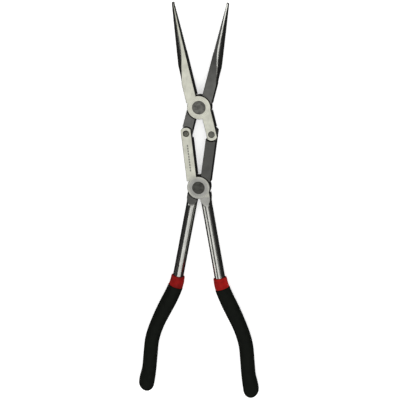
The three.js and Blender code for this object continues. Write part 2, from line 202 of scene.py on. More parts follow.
# How finely shapes are drawn: sides of a turned body, steps round half a section, rows along a piece
TURNED_SIDES = 96
RIVET_SIDES = 72
EAR_STEPS = 28
JAW_FACE_STEPS = 4
JAW_BACK_STEPS = 20
ROD_STEPS = 22
GRIP_STEPS = 26
LINE_STEPS = 200
NOSE_ROWS = 36
JAW_ROWS = 16
TIP_ROWS = 6
CHEEK_ROWS = 30
ROD_ROWS = 14
TANG_ROWS = 40
COLLAR_LIP_ROWS = 5
COLLAR_ROWS = 8
COLLAR_FOOT_ROWS = 3
COLLAR_BORE_ROWS = 12
NECK_ROWS = 6
GRIP_LIP_ROWS = 4
GRIP_ROWS = 80
GRIP_END_ROWS = 14
FULL_ROUND = 0.9995  # a round section, a little under 1 so that no two of its points meet
CUT_OVERRUN = 1  # how far a bore is cut past the end of its piece

# Mesh cleaning
WELD_DISTANCE = 0.005  # points closer than this are one
SLIVER = 0.002  # edges shorter than this are dissolved
FLATNESS = math.radians(0.2)  # faces that turn less than this from each other become one
CORNER = math.radians(50)  # edges that turn more than this stay sharp
FLAT_TILT = 0.12  # a face whose normal leans less than this across its lever belongs to a ground flat
FLAT_FACING = 0.85  # and its normal has at least this much Z

# Radii and places round the rod that follow from these
BORE_RADIUS = ROD_RADIUS + SLEEVE_GAP
NECK_RADIUS = BORE_RADIUS + NECK_WALL
NECK_BORE = NECK_RADIUS + SLEEVE_GAP
NECK_END = COLLAR_END + NECK_LENGTH
GRIP_MOUTH = COLLAR_END + SLEEVE_GAP

# Closed and resting angles of the four bars
CLOSED_JAW = math.asin(RIVET_OFFSET / JAW_ARM)
CLOSED_LINK = math.asin(RIVET_OFFSET / LINK_ARM)
JAW_OPENING = math.asin(RIGHT_LINK.x / JAW_ARM) - CLOSED_JAW
HANDLE_OPENING = math.asin(RIGHT_LINK.x / LINK_ARM) - CLOSED_LINK
TAIL_RIVET = Vector((RIVET_OFFSET, -JAW_ARM * math.cos(CLOSED_JAW), 0))
LINK_HOLE = Vector((-RIVET_OFFSET, LINK_ARM * math.cos(CLOSED_LINK), 0))


# ---- Small maths ----

def clamp(value):
    return min(max(value, 0), 1)


def mix(start, end, share):
    return start + (end - start) * share


def evenly(start, end, count):
    return [mix(start, end, i / count) for i in range(count + 1)]


def smoothly(value, start, end):
    share = clamp((value - start) / (end - start))
    return share * share * (3 - 2 * share)


def quarter_rise(distance, run):
    """Rises from 0 to 1 over the run like the first quarter of a circle."""
    return math.sqrt(1 - (1 - clamp(distance / run)) ** 2)


# ---- Mesh building ----

def new_piece(name, shape):
    mesh = bpy.data.meshes.new(name)
    bmesh.ops.recalc_face_normals(shape, faces=shape.faces)
    shape.to_mesh(mesh)
    shape.free()
    piece = bpy.data.objects.new(name, mesh)
    bpy.context.scene.collection.objects.link(piece)
    return piece


def through_rings(name, rings):
    """A closed body through a row of cross sections that have equally many points."""
    shape = bmesh.new()
    loops = [[shape.verts.new(point) for point in ring] for ring in rings]
    count = len(rings[0])
    for near, far in zip(loops, loops[1:]):
        for i in range(count):
            j = (i + 1) % count
            shape.faces.new((near[i], near[j], far[j], far[i]))
    shape.faces.new(loops[0])
    shape.faces.new(loops[-1])
    return new_piece(name, shape)


def turned(name, profile, sides=TURNED_SIDES, at=ORIGIN):
    """A body turned about Z from (radius, height) points that start and end on the axis."""
    shape = bmesh.new()
    loops = []
    for radius, height in profile[1:-1]:
        angles = [2 * math.pi * i / sides for i in range(sides)]
        ring = [Vector((radius * math.cos(a), radius * math.sin(a), height)) + at for a in angles]
        loops.append([shape.verts.new(point) for point in ring])
    for near, far in zip(loops, loops[1:]):
        for i in range(sides):
            j = (i + 1) % sides
            shape.faces.new((near[i], near[j], far[j], far[i]))
    for loop, (_, height) in ((loops[0], profile[0]), (loops[-1], profile[-1])):
        pole = shape.verts.new(Vector((0, 0, height)) + at)
        for i in range(sides):
            shape.faces.new((loop[i], loop[(i + 1) % sides], pole))
    return new_piece(name, shape)


def inset(outline, distance):
    """The same closed outline, moved in by a distance on every side. Outlines run anticlockwise."""
    moved = []
    for i, point in enumerate(outline):
        before = (point - outline[i - 1]).normalized()
        after = (outline[(i + 1) % len(outline)] - point).normalized()
        normals = [Vector((-side.y, side.x)) for side in (before, after)]
        bisector = (normals[0] + normals[1]).normalized()
        moved.append(point + bisector * distance / bisector.dot(normals[0]))
    return moved


def prism(name, outline, low, high, edge=0):
    """An outline extruded in Z, with its top and bottom edges chamfered if edge isn't 0."""
    levels = [(low, 0), (high, 0)]
    if edge:
        levels = [(low, edge), (low + edge, 0), (high - edge, 0), (high, edge)]
    rings = [[Vector((p.x, p.y, z)) for p in inset(outline, depth)] for z, depth in levels]
    return through_rings(name, rings)


def box_outline(x0, x1, y0, y1):
    return [Vector((x0, y0)), Vector((x1, y0)), Vector((x1, y1)), Vector((x0, y1))]


def bake(piece):
    graph = bpy.context.evaluated_depsgraph_get()
    piece.data = bpy.data.meshes.new_from_object(piece.evaluated_get(graph))
    piece.modifiers.clear()


def combine(piece, operation, *tools):
    for tool in tools:
        modifier = piece.modifiers.new(operation, "BOOLEAN")
        modifier.operation = operation
        modifier.solver = "EXACT"
        modifier.object = tool
        bake(piece)
        bpy.data.objects.remove(tool)
    return piece


def join(piece, *tools):
    return combine(piece, "UNION", *tools)


def cut(piece, *tools):
    return combine(piece, "DIFFERENCE", *tools)


def on_flat(face, flats_to):
    facing = abs(face.normal.z) > FLAT_FACING and abs(face.normal.x) < FLAT_TILT
    return facing and face.calc_center_median().y > flats_to


def clean(piece, flats_to=math.inf):
    """Merges what the cuts left doubled, keeps real corners and the borders of ground flats sharp, and
    lets chamfers read as rounded. Flats reach down to flats_to along the lever."""
    shape = bmesh.new()
    shape.from_mesh(piece.data)
    bmesh.ops.remove_doubles(shape, verts=shape.verts, dist=WELD_DISTANCE)
    bmesh.ops.dissolve_degenerate(shape, edges=shape.edges, dist=SLIVER)
    bmesh.ops.dissolve_limit(
        shape,
        angle_limit=FLATNESS,
        use_dissolve_boundaries=False,
        verts=shape.verts,
        edges=shape.edges,
    )
    shape.to_mesh(piece.data)
    shape.free()
    piece.data.shade_smooth()
    piece.data.set_sharp_from_angle(angle=CORNER)
    shape = bmesh.new()
    shape.from_mesh(piece.data)
    shape.normal_update()
    for edge in shape.edges:
        if len({on_flat(face, flats_to) for face in edge.link_faces}) == 2:
            edge.smooth = False
    shape.to_mesh(piece.data)
    shape.free()
    weighted = piece.modifiers.new("weighted", "WEIGHTED_NORMAL")
    weighted.keep_sharp = True
    weighted.weight = 100
    bake(piece)
    return piece


# ---- Cross sections ----

def side_points(sign, base, reach, round_share, half, edge, steps):
    """One side of a section, top to bottom. Its edge bows out from base by reach: round_share 0 is a
    square side and 1 an elliptical one, and its top and bottom corners are chamfered by edge."""
    flat = reach * math.sqrt(1 - round_share ** 2)
    corner = min(edge, abs(flat) / 2) if reach else edge
    start = half - corner
    heights = [start * math.cos(math.pi * i / steps) for i in range(steps + 1)]
    curve = [(base + reach * math.sqrt(1 - (round_share * z / half) ** 2), z) for z in heights]
    top = (base + flat - sign * corner, half)
    bottom = (base + flat - sign * corner, -half)
    return [top, *curve, bottom]


def ring(centre, along, half, sides, edge=EDGE):
    across = along.cross(UP)
    points = []
    for sign, (base, reach, round_share, steps) in zip((1, -1), sides):
        side = side_points(sign, base, sign * reach, round_share, half, edge, steps)
        ordered = side if sign > 0 else reversed(side)
        points += [centre + across * x + UP * z for x, z in ordered]
    return points


def oval(half_width, round_share):
    return [(0, half_width, round_share, ROD_STEPS)] * 2


# ---- Levers ----

def disc(radius):
    """The front half of a pivot disc, down to the plane where the two levers meet."""
    floor = LAP_GAP / 2
    top = HALF_THICKNESS
    profile = [(0, floor), (radius, floor), (radius, top - EDGE), (radius - EDGE, top), (0, top)]
    return turned("disc", profile)


def bar(rivet, start):
    """A link or jaw tail that runs from start to a rivet and ends in an arc about it."""
    side = math.copysign(1, rivet.x)
    up = math.copysign(1, rivet.y)
    half_angle = math.asin(BAR_WIDTH / 2 / EAR_RADIUS)
    arc = evenly(up * math.pi / 2 - half_angle, up * math.pi / 2 + half_angle, EAR_STEPS)
    outline = [
        Vector((rivet.x + EAR_RADIUS * math.cos(a), rivet.y + EAR_RADIUS * math.sin(a)))
        for a in arc
    ]
    left = side * RIVET_OFFSET - BAR_WIDTH / 2
    right = side * RIVET_OFFSET + BAR_WIDTH / 2
    ends = [Vector((left, start)), Vector((right, start))]
    outline += ends if up > 0 else reversed(ends)
    return prism("bar", outline, -HALF_THICKNESS, HALF_THICKNESS, EDGE)


def lap_cut(at, radius):
    """Room in the back half of a front lever for the lever that laps behind it."""
    deep = -2 * HALF_THICKNESS
    wide = radius + LAP_EDGE_GAP
    profile = [(0, deep), (wide, deep), (wide, LAP_GAP / 2), (0, LAP_GAP / 2)]
    return turned("lap_cut", profile, at=at)


def rivet_hole(head, gap, at):
    neck = HALF_THICKNESS - RIVET_HEAD_DEPTH - gap
    reach = 2 * HALF_THICKNESS
    shank = head * SHANK_SHARE + gap
    half = [(shank, neck - RIVET_HEAD_CONE), (head + gap, neck), (head + gap, reach), (0, reach)]
    profile = [(r, -z) for r, z in reversed(half)] + half
    return turned("hole", profile, at=at)


def jaw_ring(y):
    taper = clamp((y - TAPER_START) / (JAW_LENGTH - TAPER_START))
    thinning = clamp((y - NOSE_START) / (JAW_LENGTH - NOSE_START))
    into_tip = clamp((y - JAW_LENGTH + TIP_ROUND) / TIP_ROUND)
    fullness = 1 - TIP_SOFTENING * (1 - math.sqrt(1 - into_tip ** 2))
    width = mix(JAW_WIDTH, TIP_WIDTH, taper) * fullness
    half = mix(HALF_THICKNESS, TIP_THICKNESS / 2, thinning ** NOSE_THINNING) * fullness
    face = CLOSED_GAP / 2
    roundness = NOSE_ROUNDNESS * quarter_rise(y - NOSE_START, NOSE_RUN)
    sides = [(-face, 0, 0, JAW_FACE_STEPS), (-face, width - face, roundness, JAW_BACK_STEPS)]
    return ring(Vector((0, y, 0)), Vector((0, 1, 0)), half, sides, min(EDGE, width * TIP_EDGE_SHARE))


def teeth():
    """The teeth to cut from a gripping face, as one long saw-edged plate."""
    count = round(TOOTHED_LENGTH / TOOTH_PITCH)
    face = -CLOSED_GAP / 2
    start = JAW_LENGTH - TOOTH_PITCH - count * TOOTH_PITCH
    outline = [Vector((JAW_WIDTH, start)), Vector((JAW_WIDTH, start + count * TOOTH_PITCH))]
    for i in reversed(range(count)):
        y = start + i * TOOTH_PITCH
        outline.append(Vector((face, y + TOOTH_PITCH)))
        outline.append(Vector((face - TOOTH_DEPTH, y + TOOTH_PITCH / 2)))
    outline.append(Vector((face, start)))
    return prism("teeth", outline, -2 * HALF_THICKNESS, 2 * HALF_THICKNESS)


def jaw(name, link_gap):
    nose_end = NOSE_START + NOSE_RUN
    tip_start = JAW_LENGTH - TIP_ROUND
    rows = [JAW_SHOULDER, *evenly(NOSE_START, nose_end, NOSE_ROWS)]
    rows += evenly(nose_end, tip_start, JAW_ROWS)[1:]
    rows += [tip_start + TIP_ROUND * math.sin(a) for a in evenly(0, math.pi / 2, TIP_ROWS)[1:]]
    body = through_rings(name, [jaw_ring(y) for y in rows])
    cut(body, teeth())
    join(body, bar(TAIL_RIVET, 0))
    cut(body, lap_cut(ORIGIN, UPPER_DISC), lap_cut(TAIL_RIVET, EAR_RADIUS + JOINT_SLACK))
    join(body, disc(UPPER_DISC))
    cut(body, rivet_hole(UPPER_RIVET, SEAT_GAP, ORIGIN), rivet_hole(LINK_RIVET, link_gap, TAIL_RIVET))
    return body


# ---- The handle's centre line ----

def bezier(points, share):
    a, b, c, d = points
    rest = 1 - share
    return a * rest ** 3 + b * 3 * rest ** 2 * share + c * 3 * rest * share ** 2 + d * share ** 3


def handle_line():
    """Points along a handle: straight rod, outward bend, and the long grip that comes back a little."""
    direction = Vector((math.sin(ROD_LEAN), -math.cos(ROD_LEAN), 0))
    start = Vector((ROD_OFFSET, 0, 0))
    bend = start + direction * ROD_LENGTH
    elbow = bend + Vector((GRIP_SPREAD, -ELBOW_DROP, 0))
    end = bend + Vector((GRIP_SPREAD, -GRIP_DROP, 0))
    into_bend = bend + direction * ELBOW_DROP * BEND_REACH
    into_elbow = elbow + Vector((ELBOW_LEANS[0], ELBOW_DROP * ELBOW_REACHES[0], 0))
    past_elbow = elbow + Vector((ELBOW_LEANS[1], -ELBOW_DROP * ELBOW_REACHES[1], 0))
    into_end = end + Vector((END_LEAN, (GRIP_DROP - ELBOW_DROP) * END_REACH, 0))
    shares = evenly(0, 1, LINE_STEPS)
    line = [start.lerp(bend, share) for share in shares]
    line += [bezier((bend, into_bend, into_elbow, elbow), share) for share in shares[1:]]
    line += [bezier((elbow, past_elbow, into_end, end), share) for share in shares[1:]]
    return line


HANDLE = handle_line()
REACHED = [0.0]
for near, far in zip(HANDLE, HANDLE[1:]):
    REACHED.append(REACHED[-1] + (far - near).length)
HANDLE_LENGTH = REACHED[-1]


def handle_at(distance):
    """The centre line's point and direction at a distance along it."""
    i = next(k for k in range(1, len(REACHED)) if REACHED[k] >= distance or k == len(REACHED) - 1)
    share = (distance - REACHED[i - 1]) / (REACHED[i] - REACHED[i - 1])
    return HANDLE[i - 1].lerp(HANDLE[i], share), (HANDLE[i] - HANDLE[i - 1]).normalized()


def handle_ring(distance, half_width, half, round_share=FULL_ROUND, edge=EDGE):
    centre, along = handle_at(distance)
    return ring(centre, along, half, oval(half_width, round_share), edge)


def rod_ring(distance):
    turn = smoothly(distance, CHEEK_END, CHEEK_END + CHEEK_RUN)
    half_width = mix(CHEEK_WIDTH / 2, ROD_RADIUS, turn)
    half = mix(HALF_THICKNESS, ROD_RADIUS, turn)
    return handle_ring(distance, half_width, half, FULL_ROUND * turn, edge=EDGE * (1 - turn))


def round_along(name, rows, radius_at):
    return through_rings(name, [handle_ring(row, radius_at(row), radius_at(row)) for row in rows])


def mark_cuts():
    """Shallow, even index marks across the front link."""
    top = LINK_HOLE.y - MARK_TOP
    width, height = MARK_SIZE
    cuts = []
    for i in range(MARK_COUNT):
        y = top - i * MARK_PITCH
        outline = box_outline(LINK_HOLE.x - width / 2, LINK_HOLE.x + width / 2, y - height, y)
        cuts.append(prism("mark", outline, HALF_THICKNESS - MARK_DEPTH, 2 * HALF_THICKNESS))
    return cuts


def handle_lever(name, marked):
    cheek_rows = evenly(CHEEK_END, CHEEK_END + CHEEK_RUN, CHEEK_ROWS)
    rows = [ROD_START, *cheek_rows, *evenly(ROD_EVEN_FROM, NECK_END, ROD_ROWS)]
    body = through_rings(name, [rod_ring(row) for row in rows])
    beyond = box_outline(-2 * CHEEK_WIDTH, ROD_GAP / 2, -HANDLE_LENGTH, 0)
    cut(body, prism("beyond", beyond, -2 * HALF_THICKNESS, 2 * HALF_THICKNESS))
    tang_rows = evenly(NECK_END - TANG_OVERLAP, HANDLE_LENGTH - TANG_END_WALL, TANG_ROWS)
    join(body, round_along("tang", tang_rows, lambda row: TANG_RADIUS))
    join(body, bar(LINK_HOLE, LINK_SHOULDER))
    cut(body, lap_cut(ORIGIN, LOWER_DISC), lap_cut(LINK_HOLE, EAR_RADIUS + JOINT_SLACK))
    join(body, disc(LOWER_DISC))
    cut(body, rivet_hole(LOWER_RIVET, SEAT_GAP, ORIGIN), rivet_hole(LINK_RIVET, SEAT_GAP, LINK_HOLE))
    if marked:
        cut(body, *mark_cuts())
    return body


# ---- Rivets ----

def rivet(name, head, front_face, back_face):
    """A shank with a countersunk head at each end. A face is its (radius, depth) points, rim to centre."""
    neck = HALF_THICKNESS - RIVET_HEAD_DEPTH
    body = [(head * SHANK_SHARE, neck - RIVET_HEAD_CONE), (head, neck)]
    front = body + [(head * r, HALF_THICKNESS - d) for r, d in front_face]
    back = [(head * r, d - HALF_THICKNESS) for r, d in reversed(back_face)]
    back += [(r, -z) for r, z in reversed(body)]
    return turned(name, back + front, sides=RIVET_SIDES)


# Share of the head's radius, then depth below flush, from the rim to the centre
TURNED_FACE = [
    (1, 0.3), (0.955, 0), (0.72, 0), (0.7, 0.05), (0.68, 0),
    (0.4, 0), (0.38, 0.04), (0.36, 0), (0, 0),
]
PLAIN_FACE = [(1, 0.35), (0.9, 0.06), (0.75, 0), (0.4, -0.04), (0, -0.05)]
PEENED_FACE = [
    (1, 0.3), (0.94, 0.05), (0.84, 0.02), (0.76, 0.3), (0.68, 0.34), (0.6, 0.06),
    (0.46, 0), (0.34, 0.05), (0.26, 0.34), (0.14, 0.42), (0, 0.44),
]


# ---- Collars and grips ----

def rounded_rows(start, lip, count):
    """Places along a handle that follow a rounded edge of the given size."""
    return [start + lip * (1 - math.cos(a)) for a in evenly(0, math.pi / 2, count)]


def collar(name):
    def outside(row):
        share = (row - COLLAR_START) / COLLAR_LENGTH
        lip = COLLAR_LIP * (1 - quarter_rise(row - COLLAR_START, COLLAR_LIP))
        foot = COLLAR_FOOT * (1 - quarter_rise(COLLAR_END - row, COLLAR_FOOT_RUN))
        return BORE_RADIUS + mix(*COLLAR_WALLS, share) - lip - foot

    first, last = COLLAR_EVEN_ROWS
    rows = rounded_rows(COLLAR_START, COLLAR_LIP, COLLAR_LIP_ROWS)
    rows += evenly(COLLAR_START + first, COLLAR_END - last, COLLAR_ROWS)
    rows += evenly(COLLAR_END - COLLAR_FOOT_RUN, COLLAR_END, COLLAR_FOOT_ROWS)
    body = round_along(name, rows, outside)
    neck_rows = evenly(COLLAR_END - NECK_OVERLAP, NECK_END, NECK_ROWS)
    join(body, round_along("neck", neck_rows, lambda row: NECK_RADIUS))
    bore_rows = evenly(COLLAR_START - CUT_OVERRUN, NECK_END + CUT_OVERRUN, COLLAR_BORE_ROWS)
    return cut(body, round_along("bore", bore_rows, lambda row: BORE_RADIUS))


def grip_ring(distance):
    from_mouth = distance - GRIP_MOUTH
    upper = NECK_BORE + GRIP_MOUTH_WALL + GRIP_BULGE * smoothly(from_mouth, 0, GRIP_BULGE_AT)
    lower = TANG_RADIUS + SLEEVE_GAP + GRIP_WAIST_WALL
    half_width = mix(upper, lower, smoothly(from_mouth, GRIP_BULGE_AT, GRIP_WAIST_AT))
    half = NECK_BORE + GRIP_FLAT_WALL
    lip = GRIP_LIP * (1 - quarter_rise(from_mouth, GRIP_LIP))
    into_end = clamp((distance - HANDLE_LENGTH + GRIP_END_ROUND) / GRIP_END_ROUND)
    rounding = math.sqrt(1 - (GRIP_END_FULLNESS * into_end) ** 2)
    from_flare = abs(distance - HANDLE_LENGTH + GRIP_FLARE_AT) / GRIP_FLARE_RUN
    flare = GRIP_FLARE * (1 - smoothly(from_flare, 0, 1))
    centre, along = handle_at(distance)
    inner = (half_width - lip) * rounding
    outer = (half_width + flare - lip) * rounding
    sides = [(0, reach, FULL_ROUND, GRIP_STEPS) for reach in (inner, outer)]
    return ring(centre, along, (half - lip) * rounding, sides)


def grip(name):
    end_start = HANDLE_LENGTH - GRIP_END_ROUND
    first, last = GRIP_EVEN_ROWS
    rows = rounded_rows(GRIP_MOUTH, GRIP_LIP, GRIP_LIP_ROWS)
    rows += evenly(GRIP_MOUTH + first, end_start - last, GRIP_ROWS)
    rows += [end_start + GRIP_END_ROUND * math.sin(a) for a in evenly(0, math.pi / 2, GRIP_END_ROWS)]
    body = through_rings(name, [grip_ring(row) for row in rows])
    neck_rows = evenly(GRIP_MOUTH - CUT_OVERRUN, NECK_END + SLEEVE_GAP, NECK_ROWS)
    tang_end = HANDLE_LENGTH - TANG_END_WALL + SLEEVE_GAP
    tang_rows = evenly(NECK_END - TANG_OVERLAP, tang_end, TANG_ROWS)
    cut(body, round_along("neck_bore", neck_rows, lambda row: NECK_BORE))
    return cut(body, round_along("tang_bore", tang_rows, lambda row: TANG_RADIUS + SLEEVE_GAP))


# ---- Materials ----

def add(tree, kind, inputs=None, **settings):
    """Adds a node, sets its settings and sets or links its inputs."""
    node = tree.nodes.new("ShaderNode" + kind)
    for key, value in settings.items():
        setattr(node, key, value)
    for key, value in (inputs or {}).items():
        if isinstance(value, bpy.types.NodeSocket):
            tree.links.new(value, node.inputs[key])
        else:
            node.inputs[key].default_value = value
    return node


def calculate(tree, operation, first, second):
    return add(tree, "Math", {0: first, 1: second}, operation=operation).outputs[0]


def calculate_vector(tree, operation, first, second):
    return add(tree, "VectorMath", {0: first, 1: second}, operation=operation)


def scaled(tree, colour, factor):
    return add(tree, "VectorMath", {0: colour, "Scale": factor}, operation="SCALE").outputs[0]


def bumped(tree, height, strength, distance):
    return add(tree, "Bump", {"Height": height, "Strength": strength, "Distance": distance}).outputs[0]


def object_coordinates(tree):
    return add(tree, "TexCoord").outputs["Object"]


def noise(tree, coordinates, scale, detail):
    return add(tree, "TexNoise", {"Vector": coordinates, "Scale": scale, "Detail": detail}).outputs["Fac"]


def ramp(tree, value, low, high, to_low=0.0, to_high=1.0):
    inputs = {"Value": value, "From Min": low, "From Max": high, "To Min": to_low, "To Max": to_high}
    return add(tree, "MapRange", inputs).outputs["Result"]


def blend_colours(tree, share, first, second):
    node = add(tree, "Mix", data_type="RGBA")
    for socket, value in (("Factor_Float", share), ("A_Color", first), ("B_Color", second)):
        target = next(s for s in node.inputs if s.identifier == socket)
        if isinstance(value, bpy.types.NodeSocket):
            tree.links.new(value, target)
        else:
            target.default_value = value
    return next(s for s in node.outputs if s.identifier == "Result_Color")


def new_material(name):
    material = bpy.data.materials.new(name)
    material.use_nodes = True
    tree = material.node_tree
    return material, tree, tree.nodes["Principled BSDF"]


def finish_surface(tree, surface, colour, roughness, bump):
    tree.links.new(colour, surface.inputs["Base Color"])
    tree.links.new(roughness, surface.inputs["Roughness"])
    tree.links.new(bump, surface.inputs["Normal"])


def grey(value, warmth):
    return (value, value, value * (1 - warmth), 1)


# Tones. The levers' face, side, back and polished steel, then the vinyl's reds and the rubber. The back and
# disc tones and the spread of the reds are painted shade
FACE_BRIGHT = grey(0.64, 0.145)
SIDE_STEEL = grey(0.22, 0.08)
POLISHED_STEEL = grey(0.62, 0.07)
# Painted shade: the face steel dimmed where the lower disc and cheek flats show a duller reflection
SHADED_DISC = grey(0.36, 0.07)
SUNK_MARK = grey(0.2, 0.1)
# Painted shade: the back levers' flats are the face steel, darkened as if turned away from the light
SHADED_BACK_LINK = grey(0.09, 0.06)
SHADED_BACK_JAW_ROOT = grey(0.135, 0.06)
SHADED_BACK_JAW_NOSE = grey(0.06, 0.06)
BACK_JAW_SHADE_DEEPENS = (20, 50)  # painted shade on the back jaw's flat deepens from its root's tone to its nose's, in millimetres from the upper pivot
LIGHT_RED = (0.42, 0.18)  # red of the lighter clouds in the most lit vinyl and in the most shaded, a spread of painted shade
DARK_RED = (0.26, 0.11)
VINYL_SHADE = {"left": 0.75, "right": 0.45}  # painted shade on each collar's vinyl: 0 is the most lit and 1 the most shaded
RUBBER_BLACK = (0.0028, 0.004, 0.0024, 1)
RUBBER_DUSTY = (0.005, 0.0066, 0.0042, 1)

# Roughness of the smoothest and of the roughest spots
SATIN = (0.26, 0.36)
MIRROR = (0.18, 0.24)
RIVET_ROUGHNESS = (0.34, 0.46)
VINYL_ROUGHNESS = (0.38, 0.5)
RUBBER_ROUGHNESS = (0.66, 0.8)

# Texture sizes in metres
STREAK = (0.00016, 0.009)  # width and length of a brushed streak
DISC_RING = 0.00035
RIVET_RING = 0.0004

# Texture scales, per metre
STEEL_PATCHES = 150.0
RIVET_STAINS = 330.0
VINYL_CLOUDS = 160.0
VINYL_SKIN = 2200.0
RUBBER_GRAIN = 1500.0
RUBBER_DUST = 240.0
PAPER_FIBRES = 60.0


def brushed(tree, coordinates, turn, width, length):
    """Fine streaks of a brushed surface: width and length of one streak in metres, turned about Z."""
    scale = (1 / width, 1 / length, 1 / width)
    mapped = add(tree, "Mapping", {"Vector": coordinates, "Rotation": (0, 0, turn), "Scale": scale})
    return noise(tree, mapped.outputs["Vector"], 1.0, 4.0)


def turning_marks(tree, coordinates, centre, pitch):
    """Rings left by a lathe or grinder about an upright axis."""
    flat = calculate_vector(tree, "MULTIPLY", coordinates, (1, 1, 0)).outputs["Vector"]
    axis = (centre.x * MM, centre.y * MM, 0)
    distance = calculate_vector(tree, "DISTANCE", flat, axis).outputs["Value"]
    rings = add(tree, "TexNoise", {"W": distance, "Scale": 1 / pitch, "Detail": 3.0}, noise_dimensions="1D")
    return rings.outputs["Fac"], distance


def where_above(tree, value, edge, softness):
    return ramp(tree, value, edge - softness, edge + softness)


def where_below(tree, value, edge, softness):
    return ramp(tree, value, edge + softness, edge - softness)


class LeverSurface:
    """The inputs that a lever's finish is mixed from: place, facing, grain and the distance to its pivot."""

    def __init__(self, name, centre, turn, disc_radius, disc_side):
        self.material, self.tree, self.surface = new_material(name)
        tree = self.tree
        coordinates = object_coordinates(tree)
        face_normal = add(
            tree,
            "VectorTransform",
            {"Vector": add(tree, "NewGeometry").outputs["True Normal"]},
            vector_type="NORMAL",
            convert_from="WORLD",
            convert_to="OBJECT",
        ).outputs[0]
        facing = add(tree, "SeparateXYZ", {0: face_normal}).outputs["Z"]
        across = (math.cos(turn), -math.sin(turn), 0)
        leaning = calculate_vector(tree, "DOT_PRODUCT", face_normal, across).outputs["Value"]
        tilt = add(tree, "Math", {0: leaning}, operation="ABSOLUTE").outputs[0]
        self.level = where_below(tree, tilt, FLAT_TILT, softness=0.01)
        position = add(tree, "SeparateXYZ", {0: coordinates})
        self.along = position.outputs["Y"]
        height = calculate(tree, "SUBTRACT", position.outputs["Z"], centre.z * MM)
        self.height = calculate(tree, "MULTIPLY", height, float(disc_side))
        streaks = brushed(tree, coordinates, turn, *STREAK)
        rings, distance = turning_marks(tree, coordinates, centre, DISC_RING)
        on_disc = where_below(tree, distance, disc_radius * MM, softness=0.0003)
        self.near_disc = where_below(tree, distance, disc_radius * MM, softness=0.003)
        self.grain = add(tree, "Mix", {"Factor": on_disc, "A": streaks, "B": rings}).outputs["Result"]
        self.patches = noise(tree, coordinates, STEEL_PATCHES, 5.0)
        disc_facing = calculate(tree, "MULTIPLY", facing, float(disc_side))
        front = where_above(tree, disc_facing, FLAT_FACING, softness=0.02)
        back = where_below(tree, disc_facing, -FLAT_FACING, softness=0.02)
        self.is_front = calculate(tree, "MULTIPLY", front, self.level)
        self.is_back = calculate(tree, "MULTIPLY", back, self.level)

    def finish(self, colour, polished):
        """Polished is where the steel mirrors. Elsewhere it is satin."""
        tree = self.tree
        satin = ramp(tree, self.grain, 0.25, 0.75, *SATIN)
        mirror = ramp(tree, self.grain, 0.25, 0.75, *MIRROR)
        roughness = add(tree, "Mix", {"Factor": polished, "A": satin, "B": mirror}).outputs["Result"]
        worn = ramp(tree, self.patches, 0.35, 0.68, 0.86, 1.06)
        grained = ramp(tree, self.grain, 0.3, 0.7, 0.88, 1.07)
        tinted = scaled(tree, colour, calculate(tree, "MULTIPLY", worn, grained))
        bump = bumped(tree, self.grain, strength=0.12, distance=0.00004)
        finish_surface(tree, self.surface, tinted, roughness, bump)
        self.surface.inputs["Metallic"].default_value = 1.0
        self.surface.inputs["Anisotropic"].default_value = 0.35
        return self.material


def jaw_steel(name, turn, disc_side):
    """Bright flats on the disc side, painted shade on the satin flats behind, scale on the walls and a
    polished nose.
    """
    look = LeverSurface(name, UPPER_PIVOT, turn, UPPER_DISC, disc_side)
    tree = look.tree
    on_nose = where_above(tree, look.along, (UPPER_PIVOT.y + NOSE_START) * MM, softness=0.0015)
    colour = blend_colours(tree, on_nose, SIDE_STEEL, POLISHED_STEEL)
    colour = blend_colours(tree, look.is_front, colour, FACE_BRIGHT)
    # Painted shade on the flats behind the disc side, deeper towards the nose
    start, end = [(UPPER_PIVOT.y + reach) * MM for reach in BACK_JAW_SHADE_DEEPENS]
    shaded_back_flat = blend_colours(tree, ramp(tree, look.along, start, end), SHADED_BACK_JAW_ROOT, SHADED_BACK_JAW_NOSE)
    colour = blend_colours(tree, look.is_back, colour, shaded_back_flat)
    return look.finish(colour, calculate(tree, "SUBTRACT", on_nose, look.level))


def handle_steel(name, turn, disc_side):
    """As on a jaw, with painted shade dimming the disc and cheek flats, dark marks sunk in the link, and a
    polished rod below the cheek.
    """
    look = LeverSurface(name, LOWER_PIVOT, turn, LOWER_DISC, disc_side)
    tree = look.tree
    on_cheek = where_below(tree, look.along, (LOWER_PIVOT.y - CHEEK_END) * MM, softness=0.002)
    rod_top = (LOWER_PIVOT.y - CHEEK_END - CHEEK_FLAT_RUN) * MM
    on_rod = where_below(tree, look.along, rod_top, softness=0.0025)
    # Painted shade dims the flats on the lower disc and the cheek
    disc_shade_mask = calculate(tree, "MAXIMUM", look.near_disc, on_cheek)
    face = blend_colours(tree, disc_shade_mask, FACE_BRIGHT, SHADED_DISC)
    mark_level = (HALF_THICKNESS - MARK_DEPTH / 2) * MM
    sunk = where_below(tree, look.height, mark_level, softness=0.00002)
    on_link = where_above(tree, look.along, (LOWER_PIVOT.y + LOWER_DISC) * MM, softness=0.001)
    face = blend_colours(tree, calculate(tree, "MULTIPLY", sunk, on_link), face, SUNK_MARK)
    colour = blend_colours(tree, on_cheek, SIDE_STEEL, POLISHED_STEEL)
    colour = blend_colours(tree, look.is_front, colour, face)
    # Painted shade on the flats behind the disc side
    colour = blend_colours(tree, look.is_back, colour, SHADED_BACK_LINK)
    colour = blend_colours(tree, on_rod, colour, POLISHED_STEEL)
    return look.finish(colour, on_cheek)


